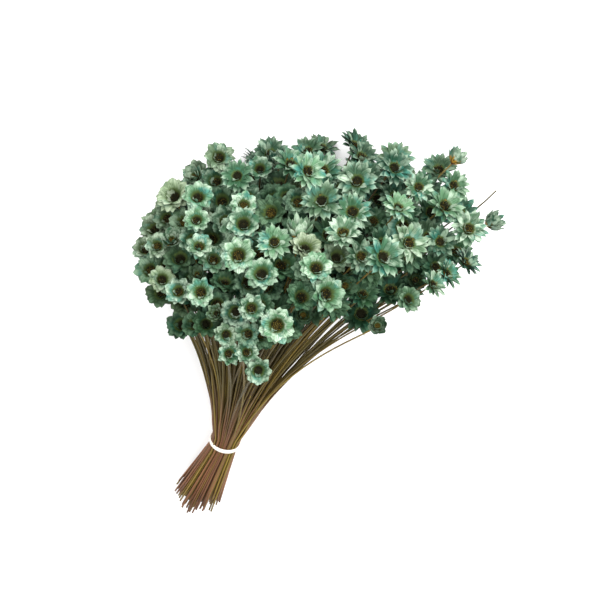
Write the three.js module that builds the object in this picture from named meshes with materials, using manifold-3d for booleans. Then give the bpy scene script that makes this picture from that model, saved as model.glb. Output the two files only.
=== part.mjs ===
// A dried glixia bunch: about 300 thin stalks, each with one small papery daisy head, held by one white
// band just above the cut ends. The bunch lies on a surface: the cut ends and the lowest heads touch it and
// the flowers point away along +Y. Units are millimetres, +Z is up.
//
// Every stalk runs from its cut end, through the band, straight out to its head. The stalks are gathered
// in sprays by the sector of the band that they pass through. The stalks of one spray are joined by a core
// where the band squeezes them together, and a narrow gap parts each spray from the next.

import * as THREE from 'three';
import Module from 'manifold-3d';

const wasm = await Module();
wasm.setup();

const DEGREE = Math.PI / 180;
const FULL_TURN = 2 * Math.PI;
const GOLDEN_SHARE = (3 - Math.sqrt(5)) / 2;

// The whole bunch
const SEED = 8;
const RULED_STALKS = 284;
const AXIS_TILT = 16 * DEGREE;
const TIE_HEIGHT = 25.3;
const STEM_RADIUS = 0.48;
const STEM_SIDES = 3;
const GAP = 0.3;

// The bundle of stems: its radius at the cut ends, at the band and at the neck where the stems spread. Below
// the band it bends towards -X, by a share of the distance from the band, and one stem in a few has a cut end
// of its own.
const TIE_RADIUS = 7.2;
const TAIL_LENGTH = 40;
const TAIL_RADIUS = 13.4;
const TAIL_BEND = -0.17;
const RAGGED = 0.35;
const TAIL_EVERY = 3;
const CORE_TAIL = 28;
const CORE_TAIL_SPREAD = 5;
const CORE_NECK = 16;
const RIDGES = 4;
const RIDGE_HEIGHT = 0.3;
const MIDDLE_SIDES = 6;
const NECK_RADIUS = 11.5;
const NECK_CURVE = 1.3;
const EMBED = 1.2;
const STEM_SPACING = 0.98;
const SPACING_ROUNDS = 80;

// The sprays: rings of sectors round one in the middle. The flat sides of a sector's outline cut inside the
// round one by the chord bow, as a share of the radius.
const SECTORS = [1, 6, 12];
const CHORD_BOW = 1 - Math.cos(15 * DEGREE);
const MOST_SHARE = 0.999;

// The band
const BAND_WIDTH = 2.4;
const BAND_THICKNESS = 1.0;
const BAND_SIDES = 24;
const BAND_BEVEL = BAND_THICKNESS / 3;

// The rim of the crown, every 45 degrees from the upper side of the bunch towards +X: how far the outermost
// stalks lean from the axis, and how far their heads reach from the band
const RIM = [
  { lean: 23, reach: 141 },
  { lean: 20.5, reach: 180 },
  { lean: 26, reach: 184 },
  { lean: 24.5, reach: 176 },
  { lean: 24, reach: 148 },
  { lean: 26, reach: 138 },
  { lean: 27.5, reach: 131 },
  { lean: 25, reach: 129 },
];

// The dome of the crown: how far its middle reaches from the band, how deep below its surface heads lie, and
// how much closer to the axis the deepest ones stay
const CENTRE_REACH = 160;
const CROWN_DEPTH = 32;
const DEPTH_NARROWS = 0.14;
const DEPTH_LAYERS = 3;

// The three forms of head. Petals stand in two rows: the outer row spreads and the inner row stands up.
const FORMS = {
  cup: {
    petals: 5,
    outer: 5.5, outerHeight: 4.8,
    inner: 4.8, innerHeight: 6.0,
    notch: 4.3, notchHeight: 4.7,
  },
  star: {
    petals: 5,
    outer: 6.8, outerHeight: 3.4,
    inner: 6.0, innerHeight: 5.1,
    notch: 4.5, notchHeight: 3.4,
  },
  bud: {
    petals: 3,
    outer: 3.9, outerHeight: 5.6,
    inner: 3.0, innerHeight: 7.6,
    notch: 3.3, notchHeight: 5.2,
  },
};
const BARE_TIP = { bare: true, outer: 0.6, outerHeight: 0 };
const THROAT_HEIGHT = 1.7;
const MIDDLE_HEIGHT = 0.8;
const BUD_SHARE = 0.16;
const NEAR_SIDE_WEIGHT = 0.6;
const MIXED_SPAN = 0.5;
const SIZE_SPREAD = 0.16;
const PETAL_SPREAD = 0.08;
const HEAD_TILT = 0.28;
const TURN_UP = 1.1;
const TURN_UP_FROM = -0.9;
const TURN_UP_FULL = -0.1;
const CROWDING = 0.35;
const DOME_STEPS = 72;
const FLAT_SLOPE = 0.01;

// Settling: how far heads and stems keep clear of each other and of the surface below, and how far past the
// crown's rim a head may be pushed, as a share of the rim's lean
const SETTLE_ROUNDS = 200;
const CLEARING_ROUNDS = 80;
const HEAD_CLEAR = 0.4;
const STEM_CLEAR = 0.4;
const HOME_PULL = 0.012;
const FIRM_PULL = 0.2;
const NEIGHBOUR_ROUNDS = 20;
const LEAST_LIFT = 0.85;
const RIM_SLACK = 1.04;
const STEM_STATIONS = [22, 32, 46, 64, 84, 104];
const NEIGHBOUR_ANGLE = 11 * DEGREE;
const HEAD_REST_REACH = 5.1;
const TAIL_REST_REACH = 2.4;

// Stalks placed one by one: the low cups of the near side, the heads that stand out at the right, and a
// stalk that has lost its head. Each is given by its angle round the axis, its lean and its reach, and some
// by where the head looks. The others give way to them.
const CHOSEN_STALKS = [
  { around: 354, lean: 30, reach: 128, form: FORMS.cup, size: 0.8 },
  { around: 0, lean: 29, reach: 130, form: FORMS.cup, size: 0.76 },
  { around: 6, lean: 31.5, reach: 128, form: FORMS.cup, size: 0.88 },
  { around: 350, lean: 27.5, reach: 132, form: FORMS.cup, size: 0.8 },
  { around: 0, lean: 26, reach: 133, form: FORMS.cup, size: 0.84 },
  { around: 11, lean: 24, reach: 142, form: FORMS.cup, size: 1.15 },
  { around: 47, lean: 28, reach: 157, form: FORMS.bud, size: 0.9 },
  { around: 56, lean: 26.5, reach: 168, form: FORMS.cup, size: 0.85 },
  { around: 106, lean: 32, reach: 186, form: FORMS.bud, size: 1.15, looks: { around: 110, lean: 52 } },
  { around: 120, lean: 25, reach: 195, form: FORMS.bud, size: 1.1, looks: { around: 124, lean: 41 } },
  { around: 17, lean: 10, reach: 165, form: FORMS.bud, size: 1.35, looks: { around: 225, lean: 30 } },
  { around: 111, lean: 19, reach: 178, form: FORMS.bud, size: 1.3, looks: { around: 142, lean: 22 } },
  { around: 62, lean: 27, reach: 180, form: FORMS.star, size: 0.8, looks: { around: 72, lean: 48 } },
  { around: 70, lean: 27, reach: 180, form: FORMS.star, size: 0.9, looks: { around: 78, lean: 44 } },
  { around: 77, lean: 28, reach: 184, form: FORMS.star, size: 0.9, looks: { around: 86, lean: 42 } },
  { around: 112, lean: 30.5, reach: 194, form: BARE_TIP, size: 1 },
];

// The bunch's own directions: along the axis, towards its upper side, and across it
const AXIS = new THREE.Vector3(0, Math.cos(AXIS_TILT), Math.sin(AXIS_TILT));
const UPPER = new THREE.Vector3(0, -Math.sin(AXIS_TILT), Math.cos(AXIS_TILT));
const ACROSS = new THREE.Vector3(1, 0, 0);
const UP = new THREE.Vector3(0, 0, 1);
const TIE = new THREE.Vector3(0, 0, TIE_HEIGHT);

function makeRandom(seed) {
  let state = seed;
  return () => {
    state = (state + 0x6d2b79f5) | 0;
    let mixed = Math.imul(state ^ (state >>> 15), 1 | state);
    mixed = (mixed + Math.imul(mixed ^ (mixed >>> 7), 61 | mixed)) ^ mixed;
    return ((mixed ^ (mixed >>> 14)) >>> 0) / 4294967296;
  };
}

const random = makeRandom(SEED);

function spread(amount) {
  return amount * (2 * random() - 1);
}

// A direction in the cross-section of the bunch, at an angle from its upper side towards +X
function outward(around) {
  return UPPER.clone().multiplyScalar(Math.cos(around)).addScaledVector(ACROSS, Math.sin(around));
}

// A smooth closed curve through the rim's values
function rimValue(key, around) {
  const turn = (((around / FULL_TURN) % 1) + 1) % 1;
  const place = turn * RIM.length;
  const first = Math.floor(place);
  const part = place - first;
  const value = (step) => RIM[(first + step + RIM.length) % RIM.length][key];
  const [before, start, end, after] = [value(-1), value(0), value(1), value(2)];
  const slope = end - before;
  const bend = 2 * before - 5 * start + 4 * end - after;
  const twist = 3 * (start - end) + after - before;
  return 0.5 * (2 * start + slope * part + bend * part ** 2 + twist * part ** 3);
}

// The radius of the bundle of stems at a distance from the band, along the axis
function bundleRadius(along) {
  if (along < 0) {
    return TIE_RADIUS + (TAIL_RADIUS - TIE_RADIUS) * (-along / TAIL_LENGTH);
  }
  return TIE_RADIUS + (NECK_RADIUS - TIE_RADIUS) * (along / CORE_NECK) ** NECK_CURVE;
}

function bundlePoint(share, around, along) {
  return TIE.clone()
    .addScaledVector(AXIS, along)
    .addScaledVector(ACROSS, TAIL_BEND * Math.max(0, -along))
    .addScaledVector(outward(around), share * bundleRadius(along));
}

// The sector that a stalk passes through, as limits of its share of the radius and its angle
function makeSectors() {
  const total = SECTORS.reduce((sum, count) => sum + count, 0);
  const sectors = [];
  let inside = 0;
  for (const count of SECTORS) {
    const inner = Math.sqrt(inside / total);
    const outer = Math.sqrt((inside + count) / total);
    for (let index = 0; index < count; index += 1) {
      const coreTail = CORE_TAIL + spread(CORE_TAIL_SPREAD);
      sectors.push({ inner, outer, start: (index * FULL_TURN) / count, width: FULL_TURN / count, coreTail });
    }
    inside += count;
  }
  return sectors;
}

const sectors = makeSectors();

function isOutermost(sector) {
  return sector.outer === 1;
}

function sectorOf(share, around) {
  return sectors.find((sector) => {
    const turned = around - sector.start;
    return share >= sector.inner && share < sector.outer && turned >= 0 && turned < sector.width;
  });
}

// A place in the cross-section moved, where it has to be, inside its sector by the stem's radius and half
// the gap
function keptInside(sector, place, radius) {
  const inset = STEM_RADIUS + GAP / 2;
  const least = sector.inner === 0 ? 0 : sector.inner * radius + inset;
  const valley = isOutermost(sector) ? RIDGE_HEIGHT : 0;
  const most = sector.outer * radius * (1 - CHORD_BOW) - inset - valley;
  const distance = THREE.MathUtils.clamp(place.length(), least, most);
  let around = place.angle();
  if (sector.width < FULL_TURN) {
    const half = Math.max(0, sector.width / 2 - Math.asin(Math.min(1, inset / distance)));
    const middle = sector.start + sector.width / 2;
    around = THREE.MathUtils.clamp(around, middle - half, middle + half);
  }
  return place.set(distance * Math.cos(around), distance * Math.sin(around));
}

// Where the stems of one sector cross a section of the bundle, evenly spaced out
function stemPlaces(sector, stalks, along) {
  const radius = bundleRadius(along);
  const places = stalks.map(({ share, around }) => {
    return new THREE.Vector2(Math.cos(around), Math.sin(around)).multiplyScalar(share * radius);
  });
  for (let round = 0; round < SPACING_ROUNDS; round += 1) {
    places.forEach((place, index) => {
      for (const other of places.slice(index + 1)) {
        const offset = other.clone().sub(place);
        const short = STEM_SPACING - offset.length();
        if (short > 0) {
          offset.setLength(short / 2);
          place.sub(offset);
          other.add(offset);
        }
      }
    });
    places.forEach((place) => keptInside(sector, place, radius));
  }
  return places.map((place) => bundlePoint(place.length() / radius, place.angle(), along));
}

// Cups grow at the left and near side, stars at the right, and buds here and there
function pickForm(around, share) {
  if (random() < BUD_SHARE) {
    return FORMS.bud;
  }
  const towardsRight = share * Math.sin(around) - NEAR_SIDE_WEIGHT * Math.cos(around) * share;
  const starShare = THREE.MathUtils.smoothstep(towardsRight, -MIXED_SPAN, MIXED_SPAN);
  return random() < starShare ? FORMS.star : FORMS.cup;
}

function direction(around, lean) {
  return AXIS.clone().multiplyScalar(Math.cos(lean)).addScaledVector(outward(around), Math.sin(lean));
}

// Where a head looks: along its stalk and up, away from the surface, except low down in the crown
function facingOf(leaning, around, share) {
  const tilt = new THREE.Vector3(spread(HEAD_TILT), spread(HEAD_TILT), spread(HEAD_TILT));
  const free = THREE.MathUtils.smoothstep(share * Math.cos(around), TURN_UP_FROM, TURN_UP_FULL);
  return leaning.clone().add(tilt).addScaledVector(UP, TURN_UP * free);
}

function makeStalk({ around, lean, reach, form, plain, size, looks, firm }) {
  const leaning = direction(around, lean);
  const home = TIE.clone().addScaledVector(leaning, reach);
  const share = lean / (rimValue('lean', around) * DEGREE);
  const chosenFacing = looks && direction(looks.around * DEGREE, looks.lean * DEGREE);
  const facing = chosenFacing ?? facingOf(leaning, around, share);
  return {
    form,
    plain,
    size,
    firm,
    facing: facing.normalize(),
    home,
    middle: home.clone(),
    middleHeight: form.outerHeight * MIDDLE_HEIGHT * size,
    bulk: Math.hypot(form.outer, (1 - MIDDLE_HEIGHT) * form.outerHeight) * size,
  };
}

// Heads grow closer together on the upper side than low down, where the bunch rests
function crowding(around) {
  return 1 + CROWDING * Math.cos(around);
}

// How much of the dome's surface lies within each step round the axis, added up and as a share of it all
function domeShares() {
  const areas = Array.from({ length: DOME_STEPS }, (_, step) => {
    const around = ((step + 0.5) * FULL_TURN) / DOME_STEPS;
    const reach = (CENTRE_REACH + rimValue('reach', around)) / 2;
    return crowding(around) * reach ** 2 * (1 - Math.cos(rimValue('lean', around) * DEGREE));
  });
  const total = areas.reduce((sum, area) => sum + area, 0);
  let covered = 0;
  return areas.map((area) => {
    covered += area / total;
    return covered;
  });
}

const domeShare = domeShares();

// The angle round the axis at which a share of the dome's surface has been passed
function aroundAt(passed) {
  const step = Math.max(0, domeShare.findIndex((covered) => covered >= passed));
  const before = step > 0 ? domeShare[step - 1] : 0;
  return ((step + (passed - before) / (domeShare[step] - before)) * FULL_TURN) / DOME_STEPS;
}

// A share of the way out to the rim that spreads heads evenly where the dome's surface grows by a factor
function evenlyOut(passed, growth) {
  const slope = growth - 1;
  if (Math.abs(slope) < FLAT_SLOPE) {
    return passed;
  }
  return (Math.sqrt(1 + 2 * slope * (1 + slope / 2) * passed) - 1) / slope;
}

// The stalks of the dome are spread evenly, like seeds in a seed head, at three depths below its surface.
// Only the outermost heads have both rows of petals.
function makeRuledStalk(index) {
  const around = aroundAt((index * GOLDEN_SHARE) % 1);
  const growth = (rimValue('reach', around) / CENTRE_REACH) ** 2;
  const filled = evenlyOut((index + 0.5) / RULED_STALKS, growth);
  const rimLean = rimValue('lean', around) * DEGREE;
  const layer = index % DEPTH_LAYERS;
  const depth = (layer + random()) / DEPTH_LAYERS;
  const lean = Math.acos(1 - filled * (1 - Math.cos(rimLean))) * (1 - DEPTH_NARROWS * depth);
  const share = lean / rimLean;
  const form = pickForm(around, share);
  const surface = CENTRE_REACH + (rimValue('reach', around) - CENTRE_REACH) * share ** 2;
  const reach = surface - CROWN_DEPTH * depth;
  const plain = layer > 0 && form !== FORMS.bud;
  return makeStalk({ around, lean, reach, form, plain, size: 1 + spread(SIZE_SPREAD) });
}

function makeChosenStalk(chosen) {
  const angles = { around: chosen.around * DEGREE, lean: chosen.lean * DEGREE };
  return makeStalk({ ...chosen, ...angles, firm: true });
}

// The angle round the axis and the lean from it of a place seen from the band
function anglesTo(place) {
  const way = place.clone().sub(TIE).normalize();
  const around = Math.atan2(way.dot(ACROSS), way.dot(UPPER));
  return { around: around < 0 ? around + FULL_TURN : around, lean: Math.acos(way.dot(AXIS)) };
}

function headBase(stalk) {
  return stalk.middle.clone().addScaledVector(stalk.facing, -stalk.middleHeight);
}

function axialDistance(point) {
  return point.clone().sub(TIE).dot(AXIS);
}

// Moves two points apart along the line between them until they are a distance apart
function pushApart(first, second, from, to, needed, firstWeight, secondWeight) {
  const offset = to.clone().sub(from);
  const distance = offset.length();
  if (distance >= needed || distance === 0) {
    return;
  }
  offset.multiplyScalar((needed - distance) / distance / 2);
  first.addScaledVector(offset, -firstWeight);
  second.addScaledVector(offset, secondWeight);
}

function clearHeads(first, second) {
  const needed = first.bulk + second.bulk + HEAD_CLEAR;
  pushApart(first.middle, second.middle, first.middle, second.middle, needed, 1, 1);
}

function clearStemFromHead(stemmed, headed) {
  const route = new THREE.Line3(stemmed.root, headBase(stemmed));
  const nearest = route.closestPointToPoint(headed.middle, true, new THREE.Vector3());
  const part = route.closestPointToPointParameter(headed.middle, true);
  const needed = headed.bulk + STEM_RADIUS + STEM_CLEAR;
  pushApart(headed.middle, stemmed.middle, headed.middle, nearest, needed, 1, part);
}

function stemAt(stalk, along) {
  const base = headBase(stalk);
  const start = axialDistance(stalk.root);
  const part = (along - start) / (axialDistance(base) - start);
  return part > 1 ? null : { part, point: stalk.root.clone().lerp(base, part) };
}

function clearStems(first, second) {
  for (const along of STEM_STATIONS) {
    const here = stemAt(first, along);
    const there = stemAt(second, along);
    if (here && there) {
      const needed = 2 * STEM_RADIUS + STEM_CLEAR;
      pushApart(first.middle, second.middle, here.point, there.point, needed, here.part, there.part);
    }
  }
}

// Gathers the stalks in the bundle: each keeps the place that its head has in the crown
function gatherStems(stalks) {
  for (const stalk of stalks) {
    const { around, lean } = anglesTo(headBase(stalk));
    stalk.around = around;
    stalk.share = Math.min(MOST_SHARE, lean / (rimValue('lean', around) * DEGREE));
    stalk.sector = sectorOf(stalk.share, stalk.around);
  }
  for (const sector of sectors) {
    const own = stalks.filter((stalk) => stalk.sector === sector);
    const roots = stemPlaces(sector, own, CORE_NECK - EMBED);
    own.forEach((stalk, index) => {
      stalk.root = roots[index];
    });
  }
}

function neighbourPairs(stalks) {
  const ways = stalks.map((stalk) => stalk.middle.clone().sub(TIE).normalize());
  const pairs = [];
  for (let one = 0; one < stalks.length; one += 1) {
    for (let two = one + 1; two < stalks.length; two += 1) {
      if (ways[one].dot(ways[two]) > Math.cos(NEIGHBOUR_ANGLE)) {
        pairs.push([stalks[one], stalks[two]]);
      }
    }
  }
  return pairs;
}

// A head that was pushed past the crown's rim is turned back to it
function keepInsideRim(stalk) {
  const { around, lean } = anglesTo(stalk.middle);
  const most = RIM_SLACK * rimValue('lean', around) * DEGREE;
  if (lean > most) {
    const reach = stalk.middle.distanceTo(TIE);
    stalk.middle.copy(TIE).addScaledVector(direction(around, most), reach);
  }
}

// The stalks give way to each other until no head lies in another or on another's stem
function settle(stalks, rounds, pull) {
  const neighbours = [];
  for (let round = 0; round < rounds; round += 1) {
    if (round % NEIGHBOUR_ROUNDS === 0) {
      neighbours.splice(0, neighbours.length, ...neighbourPairs(stalks));
    }
    for (const [first, second] of neighbours) {
      clearHeads(first, second);
      clearStemFromHead(first, second);
      clearStemFromHead(second, first);
      clearStems(first, second);
    }
    for (const stalk of stalks) {
      stalk.middle.lerp(stalk.home, stalk.firm ? FIRM_PULL : pull);
      if (!stalk.firm) {
        keepInsideRim(stalk);
      }
      stalk.middle.z = Math.max(stalk.middle.z, LEAST_LIFT * stalk.bulk);
    }
  }
}

// A closed solid that is built ring by ring
class RingSolid {
  constructor() {
    this.points = [];
    this.faces = [];
  }

  addPoint(point) {
    this.points.push(point);
    return this.points.length - 1;
  }

  // Joins a lower ring to an upper one with any number of points, both turning the same way
  bridge(lower, upper) {
    let low = 0;
    let high = 0;
    while (low < lower.length || high < upper.length) {
      const lowHere = lower[low % lower.length];
      const highHere = upper[high % upper.length];
      const lowNext = (low + 1) / lower.length;
      const highNext = (high + 1) / upper.length;
      if (high >= upper.length || (low < lower.length && lowNext <= highNext)) {
        low += 1;
        this.faces.push([lowHere, lower[low % lower.length], highHere]);
      } else {
        high += 1;
        this.faces.push([lowHere, upper[high % upper.length], highHere]);
      }
    }
  }

  closeBelow(ring) {
    for (let step = 1; step < ring.length - 1; step += 1) {
      this.faces.push([ring[0], ring[step + 1], ring[step]]);
    }
  }

  closeAbove(ring) {
    for (let step = 1; step < ring.length - 1; step += 1) {
      this.faces.push([ring[0], ring[step], ring[step + 1]]);
    }
  }

  fanTo(ring, apex) {
    ring.forEach((point, step) => {
      this.faces.push([point, ring[(step + 1) % ring.length], apex]);
    });
  }

  toSolid() {
    const vertProperties = new Float32Array(this.points.flatMap((point) => point.toArray()));
    const triVerts = new Uint32Array(this.faces.flat());
    return new wasm.Manifold(new wasm.Mesh({ numProp: 3, vertProperties, triVerts }));
  }
}

// Two directions across a facing, the first as close to the bunch's upper side as can be
function frameAcross(facing) {
  const first = UPPER.clone().addScaledVector(facing, -UPPER.dot(facing)).normalize();
  return [first, facing.clone().cross(first)];
}

function ringPoint(centre, facing, angle, radius, height) {
  const [first, second] = frameAcross(facing);
  return centre
    .clone()
    .addScaledVector(first, radius * Math.cos(angle))
    .addScaledVector(second, radius * Math.sin(angle))
    .addScaledVector(facing, height);
}

function stemRing(solid, centre, facing) {
  return Array.from({ length: STEM_SIDES }, (_, corner) => {
    return solid.addPoint(ringPoint(centre, facing, (corner * FULL_TURN) / STEM_SIDES, STEM_RADIUS, 0));
  });
}

// The rim of a head: tips of the outer and inner petals in turn, with a notch between each two. A plain head
// has the outer petals alone.
function petalRim(stalk) {
  const { form, plain, size } = stalk;
  const kinds = plain ? ['outer', 'notch'] : ['outer', 'notch', 'inner', 'notch'];
  const corners = kinds.length * form.petals;
  const rim = [];
  const step = FULL_TURN / corners;
  for (let corner = 0; corner < corners; corner += 1) {
    const kind = kinds[corner % kinds.length];
    const scale = size * (kind === 'notch' ? 1 : 1 + spread(PETAL_SPREAD));
    rim.push({ angle: corner * step, radius: form[kind] * scale, height: form[`${kind}Height`] * scale });
  }
  return rim;
}

function flowerSolid(stalk) {
  const solid = new RingSolid();
  const base = headBase(stalk);
  const along = base.clone().sub(stalk.root).normalize();
  const rootRing = stemRing(solid, stalk.root, along);
  const baseRing = stemRing(solid, base, along);
  if (stalk.form.bare) {
    solid.closeBelow(rootRing);
    solid.bridge(rootRing, baseRing);
    solid.closeAbove(baseRing);
    return solid;
  }
  const rim = stalk.rim.map((corner) => {
    return solid.addPoint(ringPoint(base, stalk.facing, corner.angle, corner.radius, corner.height));
  });
  const throat = solid.addPoint(ringPoint(base, stalk.facing, 0, 0, THROAT_HEIGHT * stalk.size));
  solid.closeBelow(rootRing);
  solid.bridge(rootRing, baseRing);
  solid.bridge(baseRing, rim);
  solid.fanTo(rim, throat);
  return solid;
}

function tailSolid({ cutEnd, tailRoot }) {
  const solid = new RingSolid();
  const along = tailRoot.clone().sub(cutEnd).normalize();
  const endRing = stemRing(solid, cutEnd, along);
  const rootRing = stemRing(solid, tailRoot, along);
  solid.closeBelow(endRing);
  solid.bridge(endRing, rootRing);
  solid.closeAbove(rootRing);
  return solid;
}

// What would hang just above the surface, or dip below it, is set down on it
function setDown(solid, reach, lift) {
  const lowest = Math.min(...solid.points.map((point) => point.z));
  if (lowest < reach) {
    lift(-lowest);
  }
}

// The outline of a sector at a distance from the band, narrower by half the gap all round. The outermost
// sectors are ridged with the stems on their outside.
function sectorOutline(sector, along) {
  const radius = bundleRadius(along);
  const inset = GAP / 2 / radius;
  if (sector.inner === 0) {
    return Array.from({ length: MIDDLE_SIDES }, (_, side) => {
      return bundlePoint(sector.outer - inset, (side * FULL_TURN) / MIDDLE_SIDES, along);
    });
  }
  const corner = (share, part) => {
    const side = Math.asin(Math.min(1, inset / share));
    const around = sector.start + side + part * (sector.width - 2 * side);
    return bundlePoint(share, around, along);
  };
  const outermost = isOutermost(sector);
  const steps = outermost ? 2 * RIDGES : 2;
  const outline = [];
  for (let step = 0; step <= steps; step += 1) {
    const valley = outermost && step % 2 === 0 ? RIDGE_HEIGHT / radius : 0;
    outline.push(corner(sector.outer - inset - valley, step / steps));
  }
  outline.push(corner(sector.inner + inset, 1), corner(sector.inner + inset, 0));
  return outline;
}

// The core of a spray, where its stems are squeezed together
function coreSolid(sector) {
  const solid = new RingSolid();
  const rings = [-sector.coreTail, 0, CORE_NECK].map((along) => {
    return sectorOutline(sector, along).map((point) => solid.addPoint(point));
  });
  solid.closeBelow(rings[0]);
  solid.bridge(rings[0], rings[1]);
  solid.bridge(rings[1], rings[2]);
  solid.closeAbove(rings[2]);
  return solid;
}

// Small hollows that are sealed between stems show as pieces of their own; without them, they are filled
function withoutHollows(solid) {
  return solid.decompose().reduce((largest, piece) => (piece.volume() > largest.volume() ? piece : largest));
}

function toGeometry(solid) {
  const { numProp, vertProperties, triVerts } = solid.getMesh();
  const geometry = new THREE.BufferGeometry();
  geometry.setAttribute('position', new THREE.BufferAttribute(vertProperties, numProp));
  geometry.setIndex(new THREE.BufferAttribute(triVerts, 1));
  geometry.computeVertexNormals();
  return geometry;
}

const stalks = [
  ...Array.from({ length: RULED_STALKS }, (_, index) => makeRuledStalk(index)),
  ...CHOSEN_STALKS.map(makeChosenStalk),
];
gatherStems(stalks);
settle(stalks, SETTLE_ROUNDS, HOME_PULL);
gatherStems(stalks);
settle(stalks, CLEARING_ROUNDS, 0);
stalks.forEach((stalk) => {
  stalk.rim = petalRim(stalk);
});

const petalMaterial = new THREE.MeshStandardMaterial({ color: 0x7fb39c, roughness: 0.85, metalness: 0 });
const bandMaterial = new THREE.MeshStandardMaterial({ color: 0xece7df, roughness: 0.6, metalness: 0 });

// The cut ends of a spray, ragged in length. Two thirds of its stems end inside the others.
function makeTails(sector, own) {
  const longer = own.filter((stalk, index) => index % TAIL_EVERY === 0);
  const tailRoots = stemPlaces(sector, longer, EMBED - sector.coreTail);
  const ends = stemPlaces(sector, longer, -TAIL_LENGTH);
  return tailRoots.map((tailRoot, index) => {
    return { tailRoot, cutEnd: tailRoot.clone().lerp(ends[index], 1 + spread(RAGGED)) };
  });
}

function makeSpray(sector, index) {
  const own = stalks.filter((stalk) => stalk.sector === sector);
  let joined = coreSolid(sector).toSolid();
  for (const stalk of own) {
    setDown(flowerSolid(stalk), HEAD_REST_REACH, (rise) => {
      stalk.middle.z += rise;
    });
    joined = joined.add(flowerSolid(stalk).toSolid());
  }
  for (const tail of makeTails(sector, own)) {
    setDown(tailSolid(tail), TAIL_REST_REACH, (rise) => {
      tail.cutEnd.z += rise;
    });
    joined = joined.add(tailSolid(tail).toSolid());
  }
  const mesh = new THREE.Mesh(toGeometry(withoutHollows(joined)), petalMaterial.clone());
  mesh.name = `spray_${String(index + 1).padStart(2, '0')}`;
  return mesh;
}

function makeBand() {
  const inner = TIE_RADIUS + GAP;
  const outer = inner + BAND_THICKNESS;
  const half = BAND_WIDTH / 2;
  const profile = [
    [inner, -half],
    [outer - BAND_BEVEL, -half],
    [outer, 0],
    [outer - BAND_BEVEL, half],
    [inner, half],
    [inner, -half],
  ].map(([radius, height]) => new THREE.Vector2(radius, height));
  const mesh = new THREE.Mesh(new THREE.LatheGeometry(profile, BAND_SIDES), bandMaterial);
  mesh.name = 'tie_band';
  mesh.quaternion.setFromUnitVectors(new THREE.Vector3(0, 1, 0), AXIS);
  mesh.position.copy(TIE);
  return mesh;
}

const bunch = new THREE.Group();
sectors.forEach((sector, index) => bunch.add(makeSpray(sector, index)));
bunch.add(makeBand());

// The origin is the middle of the bottom of the bunch's box
const box = new THREE.Box3().setFromObject(bunch, true);
const middle = box.getCenter(new THREE.Vector3());
bunch.position.set(-middle.x, -middle.y, -box.min.z);
bunch.updateMatrixWorld(true);

export default bunch;
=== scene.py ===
"""Dresses a tied bunch of dried, dyed glixia: papery heads on thin stems, held by one white band.

Every stalk is read from the frame's solids, so each head and stem stays where the frame has it.
"""

import math
import random

import bmesh
import bpy
from bpy.props import FloatProperty, FloatVectorProperty, IntProperty, PointerProperty
from mathutils import Color, Matrix, Vector
from mathutils.geometry import interpolate_bezier


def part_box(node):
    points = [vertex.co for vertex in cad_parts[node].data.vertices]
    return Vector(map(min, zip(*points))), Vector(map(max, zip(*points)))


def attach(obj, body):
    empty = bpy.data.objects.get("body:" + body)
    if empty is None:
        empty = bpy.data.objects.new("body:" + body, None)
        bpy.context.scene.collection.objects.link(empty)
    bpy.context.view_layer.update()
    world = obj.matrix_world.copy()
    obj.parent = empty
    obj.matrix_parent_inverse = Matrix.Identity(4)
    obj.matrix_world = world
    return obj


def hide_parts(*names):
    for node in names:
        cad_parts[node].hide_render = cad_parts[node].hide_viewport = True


bl_info = {
    "name": "Dried Glixia Bunch",
    "version": (1, 0, 0),
    "blender": (4, 5, 0),
    "location": "View3D > Sidebar > Glixia",
    "description": "Dresses a tied bunch of dyed, dried glixia with papery heads, stems and a band",
    "category": "Object",
}

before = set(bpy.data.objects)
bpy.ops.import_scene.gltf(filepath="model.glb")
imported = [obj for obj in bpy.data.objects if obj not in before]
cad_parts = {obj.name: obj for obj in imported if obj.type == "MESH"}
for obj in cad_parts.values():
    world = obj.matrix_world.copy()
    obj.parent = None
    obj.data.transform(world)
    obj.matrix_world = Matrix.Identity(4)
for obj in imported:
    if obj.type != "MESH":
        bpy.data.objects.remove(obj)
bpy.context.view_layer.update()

MM = 0.001
FULL_TURN = 2 * math.pi
GOLDEN_ANGLE = math.pi * (3 - math.sqrt(5))
SEED = 11

# The bunch's own directions: along its axis, towards its upper side and across it
BAND_LOW, BAND_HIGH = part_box("tie_band")
TIE = (BAND_LOW + BAND_HIGH) / 2
AXIS_TILT = math.radians(16)
AXIS = Vector((0, math.cos(AXIS_TILT), math.sin(AXIS_TILT)))
UPPER = Vector((0, -math.sin(AXIS_TILT), math.cos(AXIS_TILT)))
ACROSS = Vector((1, 0, 0))
SPRAYS = sorted(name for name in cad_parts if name.startswith("spray_"))

# The bundle of stems, as in the frame: its radius at the cut ends, at the band and at the neck
TIE_RADIUS = 7.2 * MM
TAIL_LENGTH = 40 * MM
TAIL_RADIUS = 13.4 * MM
TAIL_BEND = -0.17
NECK_ALONG = 14.8 * MM
NECK_LENGTH = 16 * MM
NECK_RADIUS = 11.5 * MM
NECK_CURVE = 1.3

# How heads are found in the frame's solids
WELD = 0.002 * MM
CROWN_START = 60 * MM
THROAT_HEIGHT = 1.7 * MM
STEM_EDGE = 12 * MM
END_SPAN = 1.5 * MM
LEAST_SIZE = 0.5
MOST_SIZE = 2.0
BUD_RIM = 4.8
STAR_RIM = 6.1

# A petal's half width at each of its cross rows, from root to tip, as a share of its width
BLUNT = (0.5, 0.72, 0.9, 1.04, 1.08, 0.74)
ROUNDED = (0.5, 0.74, 0.94, 1.02, 0.9, 0.46)
POINTED = (0.5, 0.8, 1.0, 0.96, 0.68, 0.12)
SPOON = (0.5, 0.8, 1.0, 0.7)
PETAL_THICKNESS = 0.14

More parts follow.
